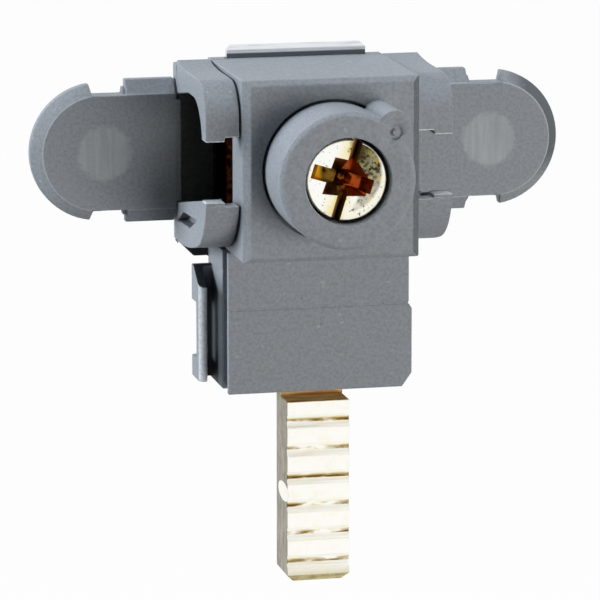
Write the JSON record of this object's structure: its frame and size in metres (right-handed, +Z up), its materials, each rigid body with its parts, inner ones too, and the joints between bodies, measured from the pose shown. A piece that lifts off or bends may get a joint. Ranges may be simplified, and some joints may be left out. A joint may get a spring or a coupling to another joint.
{
  "type": "power terminal block",
  "caption": "Plug-in feeder terminal: grey moulded housing with a front screw clamp, a side-to-side wire tunnel, hinged end flaps and a ribbed brass pin below.",
  "frame": {"origin": "on the pin's axis, in the plane of the housing's underside", "axes": "+X along the conductor to the viewer's right, +Y from the screw side to the back, +Z up; the pin points along -Z"},
  "size_m": [0.0384, 0.017, 0.0375],
  "materials": {
    "housing_plastic": "fine matt moulding, mid grey",
    "flap_plastic": "fine matt moulding, mid grey",
    "plated_steel": "bright zinc plating",
    "clamp_brass": "sawn brass profile",
    "pin_brass": "bright rolled brass",
    "screw_brass": "bright turned brass"
  },
  "bodies": {
    "housing": {"front_shell": "housing_plastic", "rear_shell": "housing_plastic", "pin_cover": "housing_plastic", "locking_plate": "plated_steel", "clamp_cage": "clamp_brass", "contact_bar": "pin_brass"},
    "left_flap": {"left_flap": "flap_plastic"},
    "right_flap": {"right_flap": "flap_plastic"},
    "pressure_plate": {"pressure_plate": "plated_steel"},
    "clamp_screw": {"clamp_screw": "screw_brass"}
  },
  "joints": [
    {"name": "left_flap_hinge", "type": "hinge", "parent": "housing", "child": "left_flap", "pos_m": [-0.0089, 0.0044, 0.0164], "axis": [0, 0, 1], "range_deg": [0, 90]},
    {"name": "right_flap_hinge", "type": "hinge", "parent": "housing", "child": "right_flap", "pos_m": [0.0089, 0.0044, 0.0164], "axis": [0, 0, -1], "range_deg": [0, 90]},
    {"name": "plate_travel", "type": "slide", "parent": "housing", "child": "pressure_plate", "axis": [0, 1, 0], "range_m": [0, 0.0032]},
    {"name": "screw_turn", "type": "hinge", "parent": "pressure_plate", "child": "clamp_screw", "pos_m": [0, -0.0025, 0.0164], "axis": [0, 1, 0], "range_deg": [0, 1440]}
  ],
  "couplings": [
    {"joint": "screw_turn", "follows": "plate_travel", "rad_per_m": 7854}
  ]
}
